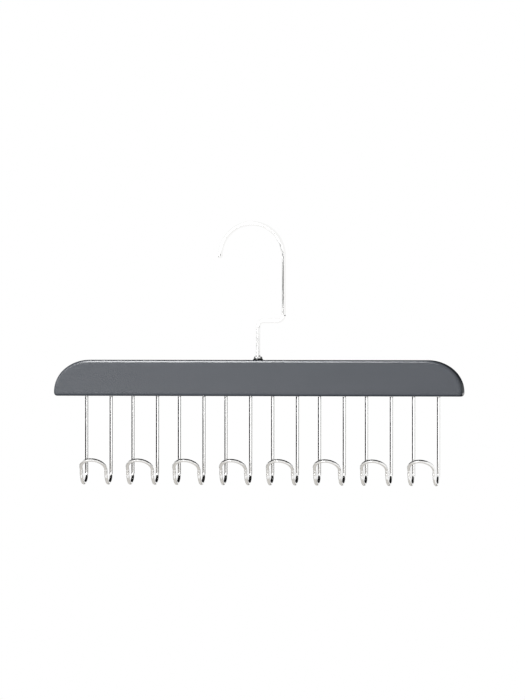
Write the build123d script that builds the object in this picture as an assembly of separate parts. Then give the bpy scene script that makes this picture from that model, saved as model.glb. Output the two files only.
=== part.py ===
from build123d import *
import math
import os

# Tie hanger: a grey bar with eight bent wire loops under it and a turning wire hook above it.
# Millimetres. The origin is the inner top of the hook's arc, where it bears on a closet rod.
# +X runs along the bar towards the hook's straight back, the loops face -Y and +Z is up.

# Bar: flat faces, a straight underside, and shoulders that fall to the ends as quarter ellipses
bar_thickness = 12.0
bar_edge_radius = 2.2
bar_end_margin = 35.35  # from an end loop's middle to the bar's end, if the row were centred
shoulder_reach = 31.5
shoulder_drop = 26.7
end_face_height = 1.2
bar_corner_radius = 2.8

# Loops: one wire each, with two legs in the bar, a valley to the front, two prongs and an arch
loop_count = 8
loop_pitch = 40.7
loop_row_shift = 3.2  # the row's middle lies this far from the ferrule towards +X
loop_wire_diameter = 2.8
leg_spacing = 21.5
leg_insert = 15.0
leg_hole_clearance = 0.1
leg_hole_spare = 0.6
loop_drop = 75.4  # from the bar's underside to the lowest point of the wire
valley_radius = 8.75
prong_straight = 1.7
prong_bend_radius = 3.0
arch_lean_degrees = 49.5

# Hook: one wire from its rounded tip, round the arc and over a crank, to its head inside the bar
hook_wire_diameter = 3.8
hook_arc_radius = 27.6
hook_back_length = 49.8  # the straight between the arc and the crank
crank_reach = 22.2
crank_bend_radius = 5.3
crank_rise = 33.0  # from the bar's top to the middle of the crank
head_shoulder = 1.2
head_height = 1.8
head_end_play = 0.3

# Ferrule: a dome on top of the bar and a barbed barrel pressed into it, which holds the head down
running_clearance = 0.08
ferrule_wall = 1.5
flange_reach = 1.0
flange_height = 0.7
dome_height = 2.1
dome_shoulder_width = 0.9
dome_shoulder_height = 1.3
lip_width = 0.35
barb_count = 2
barb_depth = 0.3
barb_slope = 1.6
barb_gap = 1.0
barrel_lead = 2.2
barrel_tail = 0.6
bore_clearance = 0.05
bore_spare = 0.8

# The wires have many flat sides, and their bends are short straights with mitred joints
hook_wire_sides = 16
hook_arc_step_degrees = 7.5
loop_wire_sides = 8
bend_step_degrees = 20.0
tip_steps = 3
tip_end_degrees = 78.0

# Worked out from the sizes above
half_turn = 180.0
quarter_turn = 90.0
hook_wire_radius = hook_wire_diameter / 2
loop_wire_radius = loop_wire_diameter / 2
bar_height = bar_corner_radius + end_face_height + shoulder_drop
bar_length = (loop_count - 1) * loop_pitch + 2 * bar_end_margin
arc_middle_z = hook_wire_radius - hook_arc_radius
crank_z = arc_middle_z - hook_back_length - crank_bend_radius
bar_top = crank_z - crank_rise
bar_bottom = bar_top - bar_height
swivel_x = hook_arc_radius - crank_reach
sleeve_radius = hook_wire_radius + running_clearance
barrel_radius = sleeve_radius + ferrule_wall
barrel_length = barrel_lead + barb_count * (barb_slope + barb_gap) + barrel_tail
bore_radius = barrel_radius + bore_clearance
head_top = bar_top - barrel_length - head_end_play

standing = (Align.CENTER, Align.CENTER, Align.MIN)
hanging = (Align.CENTER, Align.CENTER, Align.MAX)


def points_along(edge, turn, step_degrees):
    """Points along an edge past its start, one for each small step of its turn in degrees."""
    steps = max(1, math.ceil(turn / step_degrees))
    return [edge @ (step / steps) for step in range(1, steps + 1)]


def wire_section(radius, sides):
    """A many-sided section with as much metal in it as the round wire has."""
    corner_share = math.sqrt(2 * math.pi / (sides * math.sin(2 * math.pi / sides)))
    return RegularPolygon(radius * corner_share, sides)


def bent_wire(route, radius, sides):
    """A wire along a route of points, mitred where it turns."""
    path = Wire(Polyline(*route).edges())
    start = Plane(route[0], z_dir=route[1] - route[0])
    return sweep(start * wire_section(radius, sides), path=path, transition=Transition.RIGHT)


def rounded_tip(route, radius, sides):
    """The dome that closes a wire where its route starts."""
    end = Plane(route[0], z_dir=route[1] - route[0])
    sections = []
    for step in range(tip_steps + 1):
        angle = math.radians(tip_end_degrees * step / tip_steps)
        level = end.offset(-radius * math.sin(angle))
        sections.append(level * wire_section(radius * math.cos(angle), sides))
    return loft(sections, ruled=True)


def bar_outline():
    """The bar from the front, its underside's middle at the origin."""
    half_length = bar_length / 2
    foot_height = bar_corner_radius + end_face_height
    foot_end = (half_length - bar_corner_radius, 0)
    shoulder_start = (half_length - shoulder_reach, bar_height)
    underside = Line((bar_corner_radius - half_length, 0), foot_end)
    corner = JernArc(foot_end, (1, 0), bar_corner_radius, quarter_turn)
    end_face = Line(corner @ 1, (half_length, foot_height))
    middle = (half_length - shoulder_reach, foot_height)
    shoulder = EllipticalCenterArc(middle, shoulder_reach, shoulder_drop)
    top = Line(shoulder_start, (shoulder_reach - half_length, bar_height))
    right_end = [corner, end_face, shoulder]
    left_end = [mirror(edge, about=Plane.YZ) for edge in right_end]
    return make_face([underside, top] + right_end + left_end)


def loop_middles():
    """Where the loops stand along the bar."""
    first = swivel_x + loop_row_shift - (loop_count - 1) * loop_pitch / 2
    return [first + index * loop_pitch for index in range(loop_count)]


def make_bar():
    """The bar with rounded edges, one bore for the ferrule and two blind holes for each loop."""
    blank = extrude(Plane.XZ * bar_outline(), bar_thickness / 2, both=True)
    rims = blank.faces().filter_by(Axis.Y).edges()
    bar = Pos(swivel_x, 0, bar_bottom) * fillet(rims, bar_edge_radius)
    bore_depth = bar_top - head_top + head_height + bore_spare
    holes = [Pos(swivel_x, 0, bar_top) * Cylinder(bore_radius, bore_depth, align=hanging)]
    leg_hole = Cylinder(
        loop_wire_radius + leg_hole_clearance, leg_insert + leg_hole_spare, align=standing
    )
    for middle in loop_middles():
        for leg_x in (middle - leg_spacing / 2, middle + leg_spacing / 2):
            holes.append(Pos(leg_x, 0, bar_bottom) * leg_hole)
    return bar - holes


def make_ferrule():
    """The turned ferrule: flange and dome on the bar, and the barbed barrel in its bore."""
    rim_radius = barrel_radius + flange_reach
    dome_top = flange_height + dome_height
    outline = [(sleeve_radius, dome_top), (sleeve_radius, -barrel_length)]
    root_radius = barrel_radius - barb_depth
    height = barrel_tail - barrel_length
    outline += [(root_radius, -barrel_length), (root_radius, height)]
    for _ in range(barb_count):
        outline.append((barrel_radius, height + barb_slope))
        outline.append((root_radius, height + barb_slope))
        height += barb_slope + barb_gap
        outline.append((root_radius, height))
    outline += [
        (root_radius, 0),
        (rim_radius, 0),
        (rim_radius, flange_height),
        (rim_radius - dome_shoulder_width, flange_height + dome_shoulder_height),
        (sleeve_radius + lip_width, dome_top),
    ]
    body = revolve(Plane.XZ * make_face(Polyline(*outline, close=True)), Axis.Z)
    return Pos(swivel_x, 0, bar_top) * body


def hook_route():
    """The points of the hook's wire from its tip to the end of the crank."""
    arc = CenterArc((0, arc_middle_z), hook_arc_radius, half_turn, -half_turn)
    back = Line(arc @ 1, (arc @ 1) + (arc % 1) * hook_back_length)
    upper_bend = JernArc(back @ 1, back % 1, crank_bend_radius, -quarter_turn)
    crank_run = crank_reach - 2 * crank_bend_radius
    crank = Line(upper_bend @ 1, (upper_bend @ 1) + (upper_bend % 1) * crank_run)
    lower_bend = JernArc(crank @ 1, crank % 1, crank_bend_radius, quarter_turn)
    points = [arc @ 0] + points_along(arc, half_turn, hook_arc_step_degrees) + [back @ 1]
    points += points_along(upper_bend, quarter_turn, bend_step_degrees) + [crank @ 1]
    points += points_along(lower_bend, quarter_turn, bend_step_degrees)
    return [Plane.XZ.from_local_coords(point) for point in points]


def make_hook():
    """The hook: its bent wire with a rounded tip, and the round shank with its head."""
    route = hook_route()
    wire = bent_wire(route, hook_wire_radius, hook_wire_sides)
    tip = rounded_tip(route, hook_wire_radius, hook_wire_sides)
    shank_length = crank_z - crank_bend_radius - head_top
    shank = Cylinder(hook_wire_radius, shank_length, align=standing)
    head = Cylinder(hook_wire_radius + head_shoulder, head_height, align=hanging)
    foot = Pos(swivel_x, 0, head_top)
    return wire + [tip, foot * shank, foot * head]


def loop_route():
    """The points of one loop's wire from leg to leg, between its two holes."""
    valley_z = loop_wire_radius + valley_radius - loop_drop
    leg = Line((0, leg_insert), (0, valley_z))
    valley = JernArc(leg @ 1, leg % 1, valley_radius, half_turn)
    prong = Line(valley @ 1, (valley @ 1) + (valley % 1) * prong_straight)
    bend = JernArc(prong @ 1, prong % 1, prong_bend_radius, -arch_lean_degrees)
    points = [leg @ 0, leg @ 1] + points_along(valley, half_turn, bend_step_degrees)
    points += [prong @ 1] + points_along(bend, arch_lean_degrees, bend_step_degrees)
    side = Plane((-leg_spacing / 2, 0, 0), x_dir=(0, -1, 0), z_dir=(-1, 0, 0))
    near = [side.from_local_coords(point) for point in points]
    lean = math.radians(arch_lean_degrees)
    leaning = Plane(near[-1], x_dir=(1, 0, 0), z_dir=(0, -math.cos(lean), -math.sin(lean)))
    arch = CenterArc((leg_spacing / 2, 0), leg_spacing / 2, half_turn, -half_turn)
    over = points_along(arch, half_turn, bend_step_degrees)[:-1]
    far = [Vector(-point.X, point.Y, point.Z) for point in reversed(near)]
    return near + [leaning.from_local_coords(point) for point in over] + far


def main():
    """Writes each piece to its own file."""
    os.makedirs("parts", exist_ok=True)
    pieces = {"bar": make_bar(), "ferrule": make_ferrule(), "swivel_hook": make_hook()}
    loop = bent_wire(loop_route(), loop_wire_radius, loop_wire_sides)
    for number, middle in enumerate(loop_middles(), start=1):
        pieces[f"wire_hook_{number}"] = Pos(middle, 0, bar_bottom) * loop
    for name, piece in pieces.items():
        export_step(piece, f"parts/{name}.step")


main()
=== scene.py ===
# %% [markdown]
# # A tie hanger for the closet rod
#
# A grey painted bar carries eight bent wire loops for ties and belts. A plated wire hook turns in a
# small ferrule on top of the bar. The exact sizes, the joint and the hidden parts come from a packed
# model, which this lesson loads as a fixed frame. Blender then adds what the eye sees: smooth round
# wire, satin paint, bright plating, and the light of a small product studio.
#
# Every object here is in metres, in the frame's own coordinates: +X along the bar, +Z up, and the
# front, where the loops are, towards -Y.

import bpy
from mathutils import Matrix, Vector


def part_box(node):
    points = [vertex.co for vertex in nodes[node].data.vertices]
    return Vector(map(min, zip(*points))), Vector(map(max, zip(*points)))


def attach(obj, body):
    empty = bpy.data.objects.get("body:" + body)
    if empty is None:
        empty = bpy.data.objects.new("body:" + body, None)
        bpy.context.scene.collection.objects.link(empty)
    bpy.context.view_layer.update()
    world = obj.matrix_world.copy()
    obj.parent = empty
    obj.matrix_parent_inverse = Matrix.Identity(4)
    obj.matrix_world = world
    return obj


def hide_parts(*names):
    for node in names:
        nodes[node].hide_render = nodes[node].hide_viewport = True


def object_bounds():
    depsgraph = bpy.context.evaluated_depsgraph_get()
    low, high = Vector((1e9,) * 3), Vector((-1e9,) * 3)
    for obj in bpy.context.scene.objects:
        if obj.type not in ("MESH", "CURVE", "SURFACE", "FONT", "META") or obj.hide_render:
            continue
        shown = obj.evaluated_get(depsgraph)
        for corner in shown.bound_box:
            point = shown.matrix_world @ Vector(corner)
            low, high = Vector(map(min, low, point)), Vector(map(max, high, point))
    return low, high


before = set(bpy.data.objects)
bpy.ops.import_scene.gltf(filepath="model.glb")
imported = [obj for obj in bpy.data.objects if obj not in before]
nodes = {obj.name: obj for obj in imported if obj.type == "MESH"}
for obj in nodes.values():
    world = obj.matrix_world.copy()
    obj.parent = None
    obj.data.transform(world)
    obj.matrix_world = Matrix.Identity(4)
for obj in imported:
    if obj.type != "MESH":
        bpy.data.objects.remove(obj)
cad_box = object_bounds()
print("nodes:", ", ".join(sorted(nodes)))

# %% [markdown]
# ## Sizes
#
# A good habit is to read sizes off the frame instead of typing them again. The boxes of the nodes
# give where the bar, the hook and the loops are. What a box can't tell, such as how thick a wire is
# or how tightly it is bent, is a named value.

# %% Sizes
import math

import bmesh
import bpy
from mathutils import Quaternion, Vector

loop_names = sorted(name for name in nodes if name.startswith("wire_hook_"))
bar_low, bar_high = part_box("bar")
hook_low, hook_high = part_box("swivel_hook")
ferrule_low, ferrule_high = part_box("ferrule")
loop_low, loop_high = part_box(loop_names[0])
last_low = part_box(loop_names[-1])[0]

bar_middle = (bar_low + bar_high) / 2
bar_length = bar_high.x - bar_low.x
bar_thickness = bar_high.y - bar_low.y
loop_pitch = (last_low.x - loop_low.x) / (len(loop_names) - 1)
swivel_x = (ferrule_low.x + ferrule_high.x) / 2
print(f"bar {bar_length:.4f} m long, {bar_thickness:.4f} m thick, loops every {loop_pitch:.4f} m")

# %% [markdown]
# ## Shader maths in plain Python
#
# A material in Blender is a graph of nodes. Wiring each Math node by hand hides the idea behind the
# plumbing, so this small class wraps a socket and lets `a * 2 + b` add the nodes. Numbers go through
# Math nodes. Colours are blended with a Mix node, because a Math node would turn them grey. Any other
# node comes from the one method `node`: first its settings, then the values or links of its sockets.

# %% A socket that does maths


class Signal:
    """An output socket of a shader tree. Expressions on it add Math nodes."""

    def __init__(self, tree, socket=None):
        self.tree = tree
        self.socket = socket

    def node(self, kind, settings=None, sockets=None, output=0):
        """Adds a node and returns one of its outputs."""
        node = self.tree.nodes.new(kind)
        for name, value in (settings or {}).items():
            setattr(node, name, value)
        for name, value in (sockets or {}).items():
            connect(self.tree, value, node.inputs[name])
        return Signal(self.tree, node.outputs[output])

    def maths(self, operation, first, second):
        """A Math node on two values or signals."""
        return self.node("ShaderNodeMath", {"operation": operation}, {0: first, 1: second})

    def __add__(self, other):
        return self.maths("ADD", self, other)

    def __radd__(self, other):
        return self.maths("ADD", other, self)

    def __sub__(self, other):
        return self.maths("SUBTRACT", self, other)

    def __mul__(self, other):
        return self.maths("MULTIPLY", self, other)

    def blend(self, first, second):
        """A colour between two colours, by this value from 0 to 1."""
        sockets = {0: self, 6: first, 7: second}
        return self.node("ShaderNodeMix", {"data_type": "RGBA"}, sockets, output=2)


def connect(tree, value, socket):
    """Links a signal to a socket, or writes a plain value into it."""
    if isinstance(value, Signal):
        tree.links.new(value.socket, socket)
    else:
        socket.default_value = value


def new_material(name, **plain):
    """A material, its shader with plain values set, and the signal to build its graph from."""
    material = bpy.data.materials.new(name)
    material.use_nodes = True
    shader = material.node_tree.nodes["Principled BSDF"]
    for label, value in plain.items():
        shader.inputs[label.replace("_", " ")].default_value = value
    return material, shader, Signal(material.node_tree)


def noise(start, place, scale, detail=2, roughness=0.5):
    """Soft random cloud, from 0 to 1, at a number of blobs per metre."""
    sockets = {"Vector": place, "Scale": scale, "Detail": detail, "Roughness": roughness}
    return start.node("ShaderNodeTexNoise", None, sockets)


def stretched(start, stretch):
    """Object coordinates, stretched along each axis."""
    place = start.node("ShaderNodeTexCoord", None, None, output="Object")
    return start.node("ShaderNodeMapping", None, {"Vector": place, "Scale": stretch})


# %% [markdown]
# ## Satin grey paint on wood
#
# The bar is wood under a smooth, satin grey paint. From a step away it looks plain. Closer up, paint
# on wood is never quite even: the grain stands a little proud in long lines, the colour drifts in
# soft clouds, the gloss changes from place to place, and the rounded edges are polished by handling.
#
# The grain is noise that is stretched along the bar. It feeds a very small bump and a faint change
# of colour. An attribute called `rim`, which the bar's mesh stores, says where the edges are round.

# %% The paint
paint_light = (0.0745, 0.0845, 0.1040, 1)
paint_dark = (0.0650, 0.0745, 0.0920, 1)
paint_worn = (0.0890, 0.0960, 0.1095, 1)
clouds_per_metre = 22
grain_per_metre = 900
pores_per_metre = 3400
speckle_per_metre = 2600
grain_stretch = 0.06
paint_relief = 0.000012
paint_relief_strength = 0.3


def make_paint():
    """The bar's paint, with its grain along the bar and its rims worn."""
    material, shader, start = new_material(
        "satin_grey_paint", IOR=1.45, Coat_Weight=0.15, Coat_Roughness=0.14
    )
    even = stretched(start, (1, 1, 1))
    along = stretched(start, (grain_stretch, 1, 1))
    clouds = noise(start, even, clouds_per_metre, detail=3)
    grain = noise(start, along, grain_per_metre, detail=4, roughness=0.6)
    pores = noise(start, along, pores_per_metre)
    speckle = noise(start, even, speckle_per_metre)
    rim = start.node("ShaderNodeAttribute", {"attribute_name": "rim"}, None, output="Fac")

    tone = clouds * 0.7 + grain * 0.35
    body = tone.blend(paint_dark, paint_light)
    colour = (rim * speckle * 0.5).blend(body, paint_worn)
    connect(start.tree, colour, shader.inputs["Base Color"])
    gloss = 0.21 + clouds * 0.02 + grain * 0.03 - rim * 0.03
    connect(start.tree, gloss, shader.inputs["Roughness"])
    height = grain * 0.6 + pores * 0.25 + speckle * 0.15
    bump = start.node(
        "ShaderNodeBump",
        None,
        {"Strength": paint_relief_strength, "Distance": paint_relief, "Height": height},
    )
    connect(start.tree, bump, shader.inputs["Normal"])
    return material


paint = make_paint()
print("paint:", len(paint.node_tree.nodes), "nodes")

# %% [markdown]
# ## Bright plating on bent wire
#
# Loops, hook and ferrule are steel with a bright plated skin. Plating has hardly any colour of its
# own: it is a mirror, and what it shows is the studio around it. What makes it real is that the
# mirror isn't perfect. Drawn and bent wire is slightly wavy, so the reflected lines wander, and
# fingers leave faint smears that only change the gloss.

# %% The plating
plate_clean = (0.95, 0.95, 0.945, 1)
plate_smeared = (0.86, 0.855, 0.845, 1)
smears_per_metre = 160
lines_per_metre = 5200
line_stretch = 0.03
line_depth = 0.00001
line_strength = 0.05


def make_plating(name, gloss, wave_depth, waves_per_metre):
    """A plated steel finish: waves bend its reflections, smears and drawn lines dull its gloss."""
    material, shader, start = new_material(name, Metallic=1.0)
    even = stretched(start, (1, 1, 1))
    smears = noise(start, even, smears_per_metre, detail=4, roughness=0.65)
    drawn = noise(start, stretched(start, (1, 1, line_stretch)), lines_per_metre)
    waves = noise(start, even, waves_per_metre, detail=1)
    colour = (smears * 0.6).blend(plate_clean, plate_smeared)
    connect(start.tree, colour, shader.inputs["Base Color"])
    connect(start.tree, gloss + smears * 0.07 + drawn * 0.03, shader.inputs["Roughness"])
    fine = start.node(
        "ShaderNodeBump",
        None,
        {"Strength": line_strength, "Distance": line_depth, "Height": drawn},
    )
    bump = start.node(
        "ShaderNodeBump",
        None,
        {"Strength": 1.0, "Distance": wave_depth, "Height": waves, "Normal": fine},
    )
    connect(start.tree, bump, shader.inputs["Normal"])
    return material


wire_plating = make_plating("plated_wire", gloss=0.03, wave_depth=0.00012, waves_per_metre=14)
hook_plating = make_plating("plated_hook", gloss=0.03, wave_depth=0.00002, waves_per_metre=30)
ferrule_plating = make_plating(
    "plated_ferrule", gloss=0.06, wave_depth=0.00002, waves_per_metre=300
)
print("plating:", wire_plating.name, hook_plating.name, ferrule_plating.name)

# %% [markdown]
# ## The bar
#
# The bar is one board with a straight underside and shoulders that fall away to its ends as quarter
# ellipses. It could be a cut outline with a Bevel modifier, but a bevel has trouble where the curve
# is tight. A round edge is also just the outline again and again: each time moved inwards a little
# and forwards a little, on a quarter circle. Since the outline comes from a formula, so do the
# directions that point straight out of it, and every ring is exact.

# %% The bar's outline
bar_edge_radius = 0.0022
bar_corner_radius = 0.0028
shoulder_reach = 0.0315
shoulder_drop = 0.0267
corner_steps = 8
shoulder_steps = 40


def quarter(middle, reach, height, start, steps):
    """Points and outward directions of a quarter ellipse, from a start angle in degrees."""
    found = []
    for step in range(steps + 1):
        angle = math.radians(start + 90 * step / steps)
        point = middle + Vector((reach * math.cos(angle), height * math.sin(angle)))
        out = Vector((math.cos(angle) / reach, math.sin(angle) / height)).normalized()
        found.append((point, out))
    return found


def bar_outline():
    """The bar from the front: pairs of a point and its outward direction, anticlockwise."""
    half = bar_length / 2
    corner_x = half - bar_corner_radius
    shoulder_x = half - shoulder_reach
    foot = bar_low.z + bar_corner_radius
    shoulder_z = bar_high.z - shoulder_drop
    middle = bar_middle.x
    right_corner = Vector((middle + corner_x, foot))
    left_corner = Vector((middle - corner_x, foot))
    right_shoulder = Vector((middle + shoulder_x, shoulder_z))
    left_shoulder = Vector((middle - shoulder_x, shoulder_z))
    outline = quarter(right_corner, bar_corner_radius, bar_corner_radius, 270, corner_steps)
    outline += quarter(right_shoulder, shoulder_reach, shoulder_drop, 0, shoulder_steps)
    outline += quarter(left_shoulder, shoulder_reach, shoulder_drop, 90, shoulder_steps)
    outline += quarter(left_corner, bar_corner_radius, bar_corner_radius, 180, corner_steps)
    return outline


print(len(bar_outline()), "points around the bar")

# %% The bar's mesh
edge_steps = 8
edge_support = 0.0004


def edge_rings():
    """The rounded rim from front to back: how far in, how deep, and how much of an edge it is."""
    front = bar_low.y
    back = bar_high.y
    rings = [(bar_edge_radius + edge_support, front, 0.0)]
    for step in range(edge_steps + 1):
        angle = math.radians(90 * step / edge_steps)
        inset = bar_edge_radius * (1 - math.sin(angle))
        depth = bar_edge_radius * (1 - math.cos(angle))
        rings.append((inset, front + depth, math.sin(2 * angle)))
    mirrored = [(inset, front + back - depth, rim) for inset, depth, rim in reversed(rings)]
    return rings + mirrored


def make_bar():
    """The outline's rings joined by strips of faces, and closed in front and behind."""
    outline = bar_outline()
    mesh = bmesh.new()
    rim_layer = mesh.verts.layers.float.new("rim")
    loops = []
    for inset, depth, rim in edge_rings():
        loop = []
        for point, out in outline:
            place = point - out * inset
            vertex = mesh.verts.new((place.x, depth, place.y))
            vertex[rim_layer] = rim
            loop.append(vertex)
        loops.append(loop)
    count = len(outline)
    for front, back in zip(loops, loops[1:]):
        for here in range(count):
            there = (here + 1) % count
            mesh.faces.new((front[here], back[here], back[there], front[there]))
    mesh.faces.new(loops[0])
    mesh.faces.new(reversed(loops[-1]))
    return finish_mesh(mesh, "painted_bar", paint)


def finish_mesh(mesh, name, material):
    """Turns a bmesh into a smooth-shaded object with outward faces."""
    bmesh.ops.recalc_face_normals(mesh, faces=mesh.faces)
    data = bpy.data.meshes.new(name)
    mesh.to_mesh(data)
    mesh.free()
    data.shade_smooth()
    data.materials.append(material)
    piece = bpy.data.objects.new(name, data)
    bpy.context.scene.collection.objects.link(piece)
    return piece


painted_bar = make_bar()
print("bar:", len(painted_bar.data.polygons), "faces")

# %% [markdown]
# ## Wire that follows a route
#
# Each wire on the real hanger is a straight length of rod that a machine bends at a few places. The
# same recipe works here. A route is a short list of corner points. Geometry Nodes round every corner
# with Fillet Curve, by a radius that the corner itself carries, and sweep a circle along the result.
# A second number on each point, `girth`, makes the wire thicker or thinner there, which gives the
# hook a rounded tip at one end and a flattened head at the other.

# %% A node group that bends wire


def new_group(name, inputs):
    """A Geometry Nodes tree with named inputs: rows of a label, a socket type and a value."""
    tree = bpy.data.node_groups.new(name, "GeometryNodeTree")
    interface = tree.interface
    interface.new_socket("Geometry", in_out="INPUT", socket_type="NodeSocketGeometry")
    for label, kind, value in inputs:
        socket = interface.new_socket(label, in_out="INPUT", socket_type=kind)
        if value is not None:
            socket.default_value = value
    interface.new_socket("Geometry", in_out="OUTPUT", socket_type="NodeSocketGeometry")
    return tree


def add(tree, kind, settings=None, sockets=None):
    """Adds a node to a tree: settings first, then values or the sockets that feed it."""
    node = tree.nodes.new(kind)
    for name, value in (settings or {}).items():
        setattr(node, name, value)
    for name, value in (sockets or {}).items():
        if isinstance(value, bpy.types.NodeSocket):
            tree.links.new(value, node.inputs[name])
        else:
            node.inputs[name].default_value = value
    return node


wire_inputs = [
    ("Wire Radius", "NodeSocketFloat", 0.0014),
    ("Sides", "NodeSocketInt", 24),
    ("Bend Steps", "NodeSocketInt", 14),
]


def build_wire_group():
    """Route in, round wire out."""
    tree = new_group("bent_wire", wire_inputs)
    given = tree.nodes.new("NodeGroupInput").outputs
    bend = add(tree, "GeometryNodeInputNamedAttribute", {"data_type": "FLOAT"}, {"Name": "bend"})
    girth = add(tree, "GeometryNodeInputNamedAttribute", {"data_type": "FLOAT"}, {"Name": "girth"})
    route = add(tree, "GeometryNodeMeshToCurve", None, {"Mesh": given["Geometry"]})
    rounded = add(
        tree,
        "GeometryNodeFilletCurve",
        {"mode": "POLY"},
        {
            "Curve": route.outputs["Curve"],
            "Count": given["Bend Steps"],
            "Radius": bend.outputs["Attribute"],
            "Limit Radius": True,
        },
    )
    circle = add(
        tree,
        "GeometryNodeCurvePrimitiveCircle",
        None,
        {"Resolution": given["Sides"], "Radius": given["Wire Radius"]},
    )
    wire = add(
        tree,
        "GeometryNodeCurveToMesh",
        None,
        {
            "Curve": rounded.outputs["Curve"],
            "Profile Curve": circle.outputs["Curve"],
            "Scale": girth.outputs["Attribute"],
            "Fill Caps": True,
        },
    )
    smooth = add(tree, "GeometryNodeSetShadeSmooth", None, {"Geometry": wire.outputs["Mesh"]})
    out = tree.nodes.new("NodeGroupOutput")
    tree.links.new(smooth.outputs["Geometry"], out.inputs["Geometry"])
    return tree


wire_group = build_wire_group()
print("bent_wire:", len(wire_group.nodes), "nodes")

# %% [markdown]
# A second group places copies of a wire in a row. Instances are light to work with, but an exported
# model keeps only real geometry, so the group ends by realizing them and setting their material.
# With a count of one it also serves the hook, which is a single wire.

# %% A node group that repeats the wire


def build_row_group():
    """Route in, a row of equal wires out."""
    row_inputs = [
        ("Count", "NodeSocketInt", 1),
        ("Pitch", "NodeSocketFloat", 0.04),
        ("Plating", "NodeSocketMaterial", None),
    ]
    tree = new_group("wire_row", wire_inputs + row_inputs)
    given = tree.nodes.new("NodeGroupInput").outputs
    wire = add(
        tree,
        "GeometryNodeGroup",
        {"node_tree": wire_group},
        {label: given[label] for label in ["Geometry"] + [row[0] for row in wire_inputs]},
    )
    step = add(tree, "ShaderNodeCombineXYZ", None, {"X": given["Pitch"]})
    places = add(
        tree, "GeometryNodeMeshLine", None, {"Count": given["Count"], "Offset": step.outputs[0]}
    )
    row = add(
        tree,
        "GeometryNodeInstanceOnPoints",
        None,
        {"Points": places.outputs["Mesh"], "Instance": wire.outputs["Geometry"]},
    )
    real = add(tree, "GeometryNodeRealizeInstances", None, {"Geometry": row.outputs["Instances"]})
    plated = add(
        tree,
        "GeometryNodeSetMaterial",
        None,
        {"Geometry": real.outputs["Geometry"], "Material": given["Plating"]},
    )
    out = tree.nodes.new("NodeGroupOutput")
    tree.links.new(plated.outputs["Geometry"], out.inputs["Geometry"])
    return tree


row_group = build_row_group()
print("wire_row:", len(row_group.nodes), "nodes")

# %% From a route to a plain mesh


def route_object(name, route):
    """An edge mesh through the route's points: rows of a place, a bend radius and a girth."""
    data = bpy.data.meshes.new(name)
    edges = [(index, index + 1) for index in range(len(route) - 1)]
    data.from_pydata([place for place, bend, girth in route], edges, [])
    for column, label in ((1, "bend"), (2, "girth")):
        layer = data.attributes.new(label, "FLOAT", "POINT")
        layer.data.foreach_set("value", [row[column] for row in route])
    piece = bpy.data.objects.new(name, data)
    bpy.context.scene.collection.objects.link(piece)
    return piece


crease_angle = math.radians(35)


def run_group(piece, tree, **values):
    """Runs a node group on an object and keeps the result as its plain mesh."""
    modifier = piece.modifiers.new(tree.name, "NODES")
    modifier.node_group = tree
    identifiers = {
        item.name: item.identifier
        for item in tree.interface.items_tree
        if item.item_type == "SOCKET" and item.in_out == "INPUT"
    }
    for label, value in values.items():
        modifier[identifiers[label.replace("_", " ")]] = value
    evaluated = piece.evaluated_get(bpy.context.evaluated_depsgraph_get())
    result = bpy.data.meshes.new_from_object(evaluated)
    result.set_sharp_from_angle(angle=crease_angle)
    piece.modifiers.remove(modifier)
    piece.data = result
    return piece


# %% [markdown]
# ## The loops
#
# A loop is one wire. Its two legs go up into the bar. At the bottom each leg turns forwards and up
# again in a valley, where a tie lies, and the two short prongs are joined by an arch that leans out
# to the front. Half of the route is written down, and the other half is its mirror image.
#
# Smooth shading averages the directions of neighbouring faces. Where a bend runs into a long
# straight, that would tilt the mirror all along the straight. One more point, a small support length
# past the bend, keeps the average short.

# %% The loops
wire_radius = 0.0014
leg_spacing = 0.0215
prong_straight = 0.0017
prong_bend_radius = 0.003
arch_lean = math.radians(49.5)
support = 0.0005
loop_sides = 24
loop_bend_steps = 14

arch_reach = prong_bend_radius * (1 - math.cos(arch_lean)) + leg_spacing / 2 * math.sin(arch_lean)
valley_radius = (-loop_low.y - wire_radius - arch_reach) / 2


def loop_route(middle_x):
    """Corner points of one loop: place, bend radius, girth."""
    half = leg_spacing / 2
    valley_floor = loop_low.z + wire_radius
    front = -2 * valley_radius
    lean = Vector((0, -math.sin(arch_lean), math.cos(arch_lean)))
    tangent = prong_bend_radius * math.tan(arch_lean / 2)
    knee = Vector((0, front, valley_floor + valley_radius + prong_straight + tangent))
    apex = knee + lean * (tangent + half)
    side = [
        (Vector((0, 0, loop_high.z)), 0),
        (Vector((0, 0, valley_floor + valley_radius + support)), 0),
        (Vector((0, 0, valley_floor)), valley_radius),
        (Vector((0, front, valley_floor)), valley_radius),
        (knee, prong_bend_radius),
        (apex, half),
    ]
    left = [(place + Vector((middle_x - half, 0, 0)), bend, 1.0) for place, bend in side]
    right = [(place + Vector((middle_x + half, 0, 0)), bend, 1.0) for place, bend in side]
    return left + right[::-1]


loop_wires = run_group(
    route_object("loop_wires", loop_route((loop_low.x + loop_high.x) / 2)),
    row_group,
    Wire_Radius=wire_radius,
    Sides=loop_sides,
    Bend_Steps=loop_bend_steps,
    Count=len(loop_names),
    Pitch=loop_pitch,
    Plating=wire_plating,
)
print("loops:", len(loop_wires.data.polygons), "faces, valley radius", round(valley_radius, 5))

# %% [markdown]
# ## The hook
#
# The hook is one thicker wire. From its rounded tip it goes over the arc that hangs on the rod, down
# a straight back, and over a crank to its shank, which stands in the middle of the bar so that the
# hanger hangs level. Inside the bar the shank ends in a flattened head that can't pull out.
#
# A rounded tip is a row of points whose girth follows a quarter circle.

# %% The hook
hook_wire_radius = 0.0019
hook_arc_radius = 0.0276
crank_bend_radius = 0.0053
crank_rise = 0.033
head_height = 0.0018
head_girth = (hook_high.y - hook_low.y) / 2 / hook_wire_radius
head_flare = 0.0002
tip_steps = 10
tip_first_angle = 6
hook_sides = 32
hook_bend_steps = 40


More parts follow.
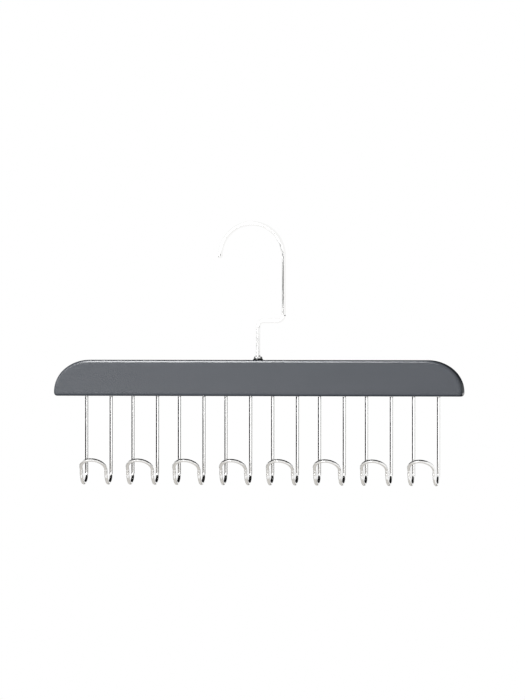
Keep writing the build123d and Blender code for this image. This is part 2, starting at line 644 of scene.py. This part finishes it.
def hook_route():
    """Corner points of the hook from its tip to its head: place, bend radius, girth."""
    arc_z = hook_wire_radius - hook_arc_radius
    top_z = arc_z + hook_arc_radius
    crank_z = bar_high.z + crank_rise
    past_bend = crank_bend_radius + support
    route = []
    for step in range(tip_steps):
        angle = math.radians(tip_first_angle + (90 - tip_first_angle) * step / tip_steps)
        down = hook_wire_radius * math.cos(angle)
        route.append((Vector((-hook_arc_radius, 0, arc_z - down)), 0, math.sin(angle)))
    route += [
        (Vector((-hook_arc_radius, 0, arc_z)), 0, 1.0),
        (Vector((-hook_arc_radius, 0, top_z)), hook_arc_radius, 1.0),
        (Vector((hook_arc_radius, 0, top_z)), hook_arc_radius, 1.0),
        (Vector((hook_arc_radius, 0, arc_z - support)), 0, 1.0),
        (Vector((hook_arc_radius, 0, crank_z + past_bend)), 0, 1.0),
        (Vector((hook_arc_radius, 0, crank_z)), crank_bend_radius, 1.0),
        (Vector((hook_arc_radius - past_bend, 0, crank_z)), 0, 1.0),
        (Vector((swivel_x + past_bend, 0, crank_z)), 0, 1.0),
        (Vector((swivel_x, 0, crank_z)), crank_bend_radius, 1.0),
        (Vector((swivel_x, 0, crank_z - past_bend)), 0, 1.0),
        (Vector((swivel_x, 0, hook_low.z + head_height + head_flare)), 0, 1.0),
        (Vector((swivel_x, 0, hook_low.z + head_height)), 0, head_girth),
        (Vector((swivel_x, 0, hook_low.z)), 0, head_girth),
    ]
    return route


hook_wire = run_group(
    route_object("hook_wire", hook_route()),
    row_group,
    Wire_Radius=hook_wire_radius,
    Sides=hook_sides,
    Bend_Steps=hook_bend_steps,
    Count=1,
    Pitch=0.0,
    Plating=hook_plating,
)
print("hook:", len(hook_wire.data.polygons), "faces")

# %% [markdown]
# ## The ferrule
#
# The ferrule is a small turned bush: a foot that rises from the wood as a cone, a short upright neck
# around the shank, and a barbed barrel in the bore. Turned parts are the easiest shapes to make:
# draw half of the section and spin it round the axis. The cone mirrors the dark above it, and the
# neck mirrors the bright studio, so the foot looks black and the neck has a highlight.

# %% The ferrule
running_clearance = 0.00008
ferrule_wall = 0.0015
sleeve_radius = hook_wire_radius + running_clearance
barrel_radius = sleeve_radius + ferrule_wall
cone_lean = math.radians(34)
neck_wall = 0.0015
lip_roll = 0.00045
barb_depth = 0.0003
barb_slope = 0.0016
barb_gap = 0.001
barrel_tail = 0.0006
barb_count = 2
spin_steps = 64
turn_steps = 8
turned_crease = math.radians(25)
merge_distance = 1e-6


def ferrule_section():
    """Half of the ferrule's section, as pairs of radius and height, from the barrel's foot up."""
    rim_radius = (ferrule_high.x - ferrule_low.x) / 2
    seat = bar_high.z
    top = ferrule_high.z
    root = barrel_radius - barb_depth
    height = ferrule_low.z + barrel_tail
    section = [(sleeve_radius, ferrule_low.z), (root, ferrule_low.z), (root, height)]
    for _ in range(barb_count):
        section.append((barrel_radius, height + barb_slope))
        section.append((root, height + barb_slope))
        height += barb_slope + barb_gap
        section.append((root, height))
    section.append((root, seat))
    neck = sleeve_radius + neck_wall
    cone_top = seat + (rim_radius - neck) / math.tan(cone_lean)
    lip = Vector((neck - lip_roll, top - lip_roll))
    section += [(rim_radius, seat), (neck, cone_top)]
    section += [(point.x, point.y) for point, out in quarter(lip, lip_roll, lip_roll, 0, turn_steps)]
    section.append((sleeve_radius, top))
    return section


def make_ferrule():
    """The section spun round the hook's axis."""
    mesh = bmesh.new()
    section = ferrule_section()
    verts = [mesh.verts.new((swivel_x + radius, 0, height)) for radius, height in section]
    edges = [mesh.edges.new(pair) for pair in zip(verts, verts[1:] + verts[:1])]
    bmesh.ops.spin(
        mesh,
        geom=verts + edges,
        cent=(swivel_x, 0, 0),
        axis=(0, 0, 1),
        angle=2 * math.pi,
        steps=spin_steps,
        use_merge=True,
    )
    bmesh.ops.remove_doubles(mesh, verts=mesh.verts, dist=merge_distance)
    piece = finish_mesh(mesh, "turned_ferrule", ferrule_plating)
    piece.data.set_sharp_from_angle(angle=turned_crease)
    return piece


turned_ferrule = make_ferrule()
print("ferrule:", len(turned_ferrule.data.polygons), "faces")

# %% [markdown]
# ## Riding on the frame
#
# Each piece stands for the nodes of the same part and moves with their body, so the hook can swivel
# in the dressed model exactly as it does in the frame.

# %% Riding on the frame
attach(painted_bar, "hanger_bar")
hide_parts("bar")
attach(turned_ferrule, "hanger_bar")
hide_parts("ferrule")
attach(loop_wires, "hanger_bar")
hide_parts(*loop_names)
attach(hook_wire, "hook")
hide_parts("swivel_hook")

# %% [markdown]
# ## The studio
#
# The background is plain white, so the world is white to the camera and in the plating. The light
# that it sheds on the paint is far weaker than that, because the lamps do that work. A pale floor
# below catches a shadow. The warm light grey that the lower bends of the wires mirror is a painted
# reflection: a grey card laid over the floor, which only reflections see.

# %% World and floor
world_light = 0.25
floor_drop = 0.26
floor_size = 1.3
floor_tone = (0.80, 0.78, 0.75, 1)
floor_glow = 0.6
floor_sides = 96
floor_z = cad_box[0][2] - floor_drop


def make_world():
    """White where it is seen, softer where it lights."""
    world = bpy.data.worlds.new("studio")
    world.use_nodes = True
    bpy.context.scene.world = world
    tree = world.node_tree
    tree.nodes.clear()
    start = Signal(tree)
    camera_ray = start.node("ShaderNodeLightPath", None, None, output="Is Camera Ray")
    glossy_ray = start.node("ShaderNodeLightPath", None, None, output="Is Glossy Ray")
    through_ray = start.node("ShaderNodeLightPath", None, None, output="Is Transmission Ray")
    seen = start.maths("MAXIMUM", camera_ray, start.maths("MAXIMUM", glossy_ray, through_ray))
    strength = world_light + seen * (1 - world_light)
    sky = start.node("ShaderNodeBackground", None, {"Color": (1, 1, 1, 1), "Strength": strength})
    out = tree.nodes.new("ShaderNodeOutputWorld")
    tree.links.new(sky.socket, out.inputs["Surface"])


def make_floor():
    """A round pale floor that is nearly white to the camera and keeps the shadow."""
    material, shader, start = new_material("pale_floor", Roughness=0.6)
    shader.inputs["Base Color"].default_value = floor_tone
    camera_ray = start.node("ShaderNodeLightPath", None, None, output="Is Camera Ray")
    glow = start.node("ShaderNodeEmission", None, {"Color": (1, 1, 1, 1), "Strength": 1.0})
    surface = material.node_tree.nodes["Material Output"].inputs["Surface"]
    lit = Signal(start.tree, shader.outputs["BSDF"])
    mixed = start.node("ShaderNodeMixShader", None, {0: camera_ray * floor_glow, 1: lit, 2: glow})
    connect(start.tree, mixed, surface)
    mesh = bmesh.new()
    bmesh.ops.create_circle(mesh, cap_ends=True, segments=floor_sides, radius=floor_size)
    bmesh.ops.translate(mesh, verts=mesh.verts, vec=(bar_middle.x, 0, floor_z))
    floor = finish_mesh(mesh, "floor", material)


make_world()
make_floor()
print("floor at", round(floor_z, 3), "m")

# %% [markdown]
# ## Lamps
#
# A broad softbox in front, a little to the left, lights the paint. A weaker one stands above it, so
# that the floor gets a soft shadow, and a low one behind keeps the back of the bar from going black.
# These two are hidden from the plating, because the wires would show each as a line of its own.

# %% Lamps
light_centre = Vector((bar_middle.x, 0, bar_middle.z))


def add_softbox(name, place, width, height, brightness, mirrored=True):
    """An area lamp that looks at the bar and has the same brightness all over."""
    lamp = bpy.data.lights.new(name, "AREA")
    lamp.shape = "RECTANGLE"
    lamp.size = width
    lamp.size_y = height
    lamp.energy = brightness * math.pi * width * height
    box = bpy.data.objects.new(name, lamp)
    box.location = light_centre + Vector(place)
    box.rotation_euler = (-Vector(place)).to_track_quat("-Z", "Y").to_euler()
    box.visible_camera = False
    box.visible_glossy = mirrored
    bpy.context.scene.collection.objects.link(box)


add_softbox("front_box", (-1.15, -1.8, -0.05), width=1.7, height=1.8, brightness=3.85)
add_softbox("key_box", (-0.62, -1.5, 1.5), width=0.45, height=2.5, brightness=1.2, mirrored=False)
add_softbox("back_box", (0.4, 2.0, 0.0), width=2.5, height=0.5, brightness=3.5, mirrored=False)

# %% [markdown]
# ## Cards
#
# Bright wire in front of white would vanish. A studio therefore stands dark cards round the object:
# the plating mirrors them as the fine dark lines that show how round it is. Mirrored rays leave an
# upright wire level, so each height has cards of its own: the loops, the bar, the shank and the
# hook's back. Cards above draw the lines over the arches and the dark edge on top of the bar. A grey
# apron in front gives the prongs their tone, and a small white card at the right end wipes out one
# line of the nearest loops. The brightest card is the key: the bar's rounded upper edge mirrors it as
# a line, which fades towards the right end because there the mirrored ray passes beside the card.
# All of them are hidden from the camera and from the soft light, so only reflections know them.

# %% Cards
black_card = (0.01, 0.01, 0.01, 1)
white_card = (1.0, 1.0, 1.0, 1)
grey_card = (0.64, 0.62, 0.59, 1)
light_card = (0.35, 0.35, 0.35, 1)
dim_card = (0.20, 0.20, 0.20, 1)
key_glow = 20.0
front_glow = 1.8
far_ring = 1.3
front_ring = 1.25
apron_ring = 0.6


def add_card(name, corners, shade, glow=1.0):
    """A flat card that only reflections see, just as bright as its shade times its glow."""
    material, shader, start = new_material(name + "_card", Roughness=1.0)
    shader.inputs["Base Color"].default_value = (0, 0, 0, 1)
    shader.inputs["Specular IOR Level"].default_value = 0.0
    shader.inputs["Emission Color"].default_value = shade
    shader.inputs["Emission Strength"].default_value = glow
    if glow < key_glow:
        material.cycles.emission_sampling = "NONE"
    mesh = bmesh.new()
    mesh.faces.new([mesh.verts.new(corner) for corner in corners])
    card = finish_mesh(mesh, name, material)
    card.visible_camera = False
    card.visible_diffuse = False
    card.visible_shadow = False


def round_bar(distance, *directions):
    """Points of the floor plan, by their directions in degrees from straight in front to +X."""
    points = []
    for degrees in directions:
        angle = math.radians(degrees)
        points.append((light_centre.x + distance * math.sin(angle), -distance * math.cos(angle)))
    return points


def add_screen(name, points, low_z, high_z, shade, glow=1.0):
    """Upright cards from point to point of the floor plan."""
    for number, (start, end) in enumerate(zip(points, points[1:]), start=1):
        corners = [(*start, low_z), (*end, low_z), (*end, high_z), (*start, high_z)]
        add_card(f"{name}_{number}", corners, shade, glow)


def add_roof(name, near_y, far_y, z, shade, reach=0.05):
    """A level card along the bar, longer than it by a reach at each end."""
    left = bar_low.x - reach
    right = bar_high.x + reach
    add_card(name, [(left, near_y, z), (right, near_y, z), (right, far_y, z), (left, far_y, z)], shade)


awning_z = bar_high.z + 0.004
roof_z = bar_low.z - 0.0006
sheet = 0.0003
screen_low = cad_box[0][2] - 0.08
apron_high = bar_low.z - 0.071
apron_low = cad_box[0][2] - 0.2
bar_end = bar_high.x + 0.017

# The loops' level: white in front, black from far left round to behind, and black at the right
loop_front = round_bar(front_ring, -9, 42)
loop_left = round_bar(far_ring, -8, -45, -85, -125, -170)
loop_right = round_bar(far_ring, 41, 88, 136)
add_screen("loop_front", loop_front, screen_low, bar_low.z, white_card, front_glow)
add_screen("loop_left", loop_left, screen_low, bar_low.z, black_card)
add_screen("loop_right", loop_right, screen_low, bar_low.z, black_card)
add_screen("bounce", [(bar_end, -0.12), (bar_end, 0.03)], screen_low, bar_low.z, white_card)

# Above and below the loops: a roof for the arches, an apron and a table for the prongs
roof_front = -0.233
roof_middle = -0.105
roof_behind = 0.3
add_roof("loop_roof", roof_middle, roof_behind, roof_z, black_card)
add_roof("loop_fill", roof_front, roof_middle, roof_z, white_card)
add_roof("roof_top", roof_front, -0.0075, roof_z + sheet, white_card)
add_roof("roof_back", 0.0065, roof_behind, roof_z + sheet, white_card)
apron_left = round_bar(apron_ring, -110, -60, -20)
apron_right = round_bar(apron_ring, -7, 50)
add_screen("apron_left", apron_left, apron_low, apron_high, grey_card)
add_screen("apron_right", apron_right, apron_low, apron_high, grey_card)
# The tables are a painted reflection: cards at the floor's height that only the plating sees, warm
# light grey under the hanger and white further out. The lower bends mirror them instead of the floor.
table_z = floor_z + 0.002
table_edge = -0.2
add_roof("near_table", table_edge, 0.3, table_z, grey_card, reach=0.25)
add_roof("far_table", -1.3, table_edge, table_z, white_card, reach=0.8)

# The bar's level: both of its ends, and an awning over its upper edge
bar_left = round_bar(far_ring, -50, -100, -150)
bar_right = round_bar(far_ring, 80, 100, 125)
end_screen = [(bar_end, 0), (bar_end + 0.03, 0.3), (bar_high.x - 0.15, 0.3)]
add_screen("bar_left", bar_left, bar_low.z, bar_high.z, black_card)
add_screen("bar_right", bar_right, bar_low.z, bar_high.z, dim_card)
add_screen("end_screen", end_screen, bar_low.z, bar_high.z, dim_card)
add_screen("awning_back", [(-0.3, 0.5), (0.3, 0.5)], bar_high.z - 0.002, awning_z, black_card)
awning_front = -0.0072
awning_behind = 0.5
add_roof("awning_underside", awning_front, awning_behind, awning_z, black_card)
add_roof("awning_top", awning_front, awning_behind, awning_z + sheet, white_card)

# The levels of the ferrule, the shank and the hook's back
ferrule_card = round_bar(far_ring, -5, 30, 65, 110)
shank_card = round_bar(far_ring, -58, -8)
back_card = round_bar(far_ring, -54, 12)
ferrule_level = bar_high.z + 0.003
shank_level = bar_high.z + 0.034
back_foot = bar_high.z + 0.043
back_top = hook_high.z - 0.005
add_screen("ferrule_card", ferrule_card, bar_high.z - 0.002, ferrule_level, dim_card)
add_screen("shank_card", shank_card, ferrule_level, shank_level, light_card)
add_screen("back_card", back_card, back_foot, back_top, black_card)

# Beside the hook's tip, whose inner side leans down and would mirror the loops' cards as a dark spot
tip_places = [(-0.012, -0.024), (-0.012, 0.02)]
add_screen("tip_card", tip_places, -0.036, -0.016, white_card)

# The key card, given from the middle of the bar: it slopes up towards the bar from the front
key_corners = [(-0.95, -2.4, 0.62), (-0.36, -2.4, 0.62), (-0.5, -0.62, 2.38), (-0.9, -0.62, 2.38)]
add_card("key", [light_centre + Vector(place) for place in key_corners], white_card, key_glow)

# %% [markdown]
# ## The camera
#
# The picture was taken from far away, level with the bar and a little from its right, so the loops'
# fronts appear shifted to the left of their legs. The picture's scale follows from the bar's length,
# and two places in the picture pin down where the camera aims.

# %% The camera
photo_width_px = 525
photo_height_px = 700
bar_left_px = 54.15
bar_right_px = 464.65
bar_middle_px = 258.1
bar_top_px = 359.95
camera_azimuth = math.radians(13.4)
camera_distance = 6.5
camera_roll = math.radians(0.053)
sensor_size = 36.0


def add_camera():
    """A camera that sees the bar where the picture has it, and as long."""
    turn_in = math.cos(camera_azimuth)
    turn_out = math.sin(camera_azimuth)
    half_span = (bar_length / 2 - bar_edge_radius) * turn_in
    half_span += (bar_thickness / 2 - bar_edge_radius) * turn_out + bar_edge_radius
    metres_per_px = 2 * half_span / (bar_right_px - bar_left_px)
    right = Vector((turn_in, turn_out, 0))
    toward = Vector((turn_out, -turn_in, 0))
    aim = Vector((bar_middle.x, 0, bar_high.z))
    aim += right * (photo_width_px / 2 - bar_middle_px) * metres_per_px
    aim += Vector((0, 0, 1)) * (bar_top_px - photo_height_px / 2) * metres_per_px
    data = bpy.data.cameras.new("camera")
    data.sensor_width = sensor_size
    data.lens = sensor_size * camera_distance / (photo_height_px * metres_per_px)
    camera = bpy.data.objects.new("camera", data)
    camera.location = aim + toward * camera_distance
    level_turn = (-toward).to_track_quat("-Z", "Y")
    camera.rotation_euler = (level_turn @ Quaternion((0, 0, 1), camera_roll)).to_euler()
    bpy.context.scene.collection.objects.link(camera)
    bpy.context.scene.camera = camera
    print(f"camera: {metres_per_px * 1000:.4f} mm per pixel, lens {data.lens:.0f} mm")


add_camera()
bpy.context.scene.view_settings.view_transform = "Standard"

# %% [markdown]
# ## The frame's box
#
# The frame's box is printed.

# %% The frame's box
print("frame", [round(v, 4) for corner in cad_box for v in corner])
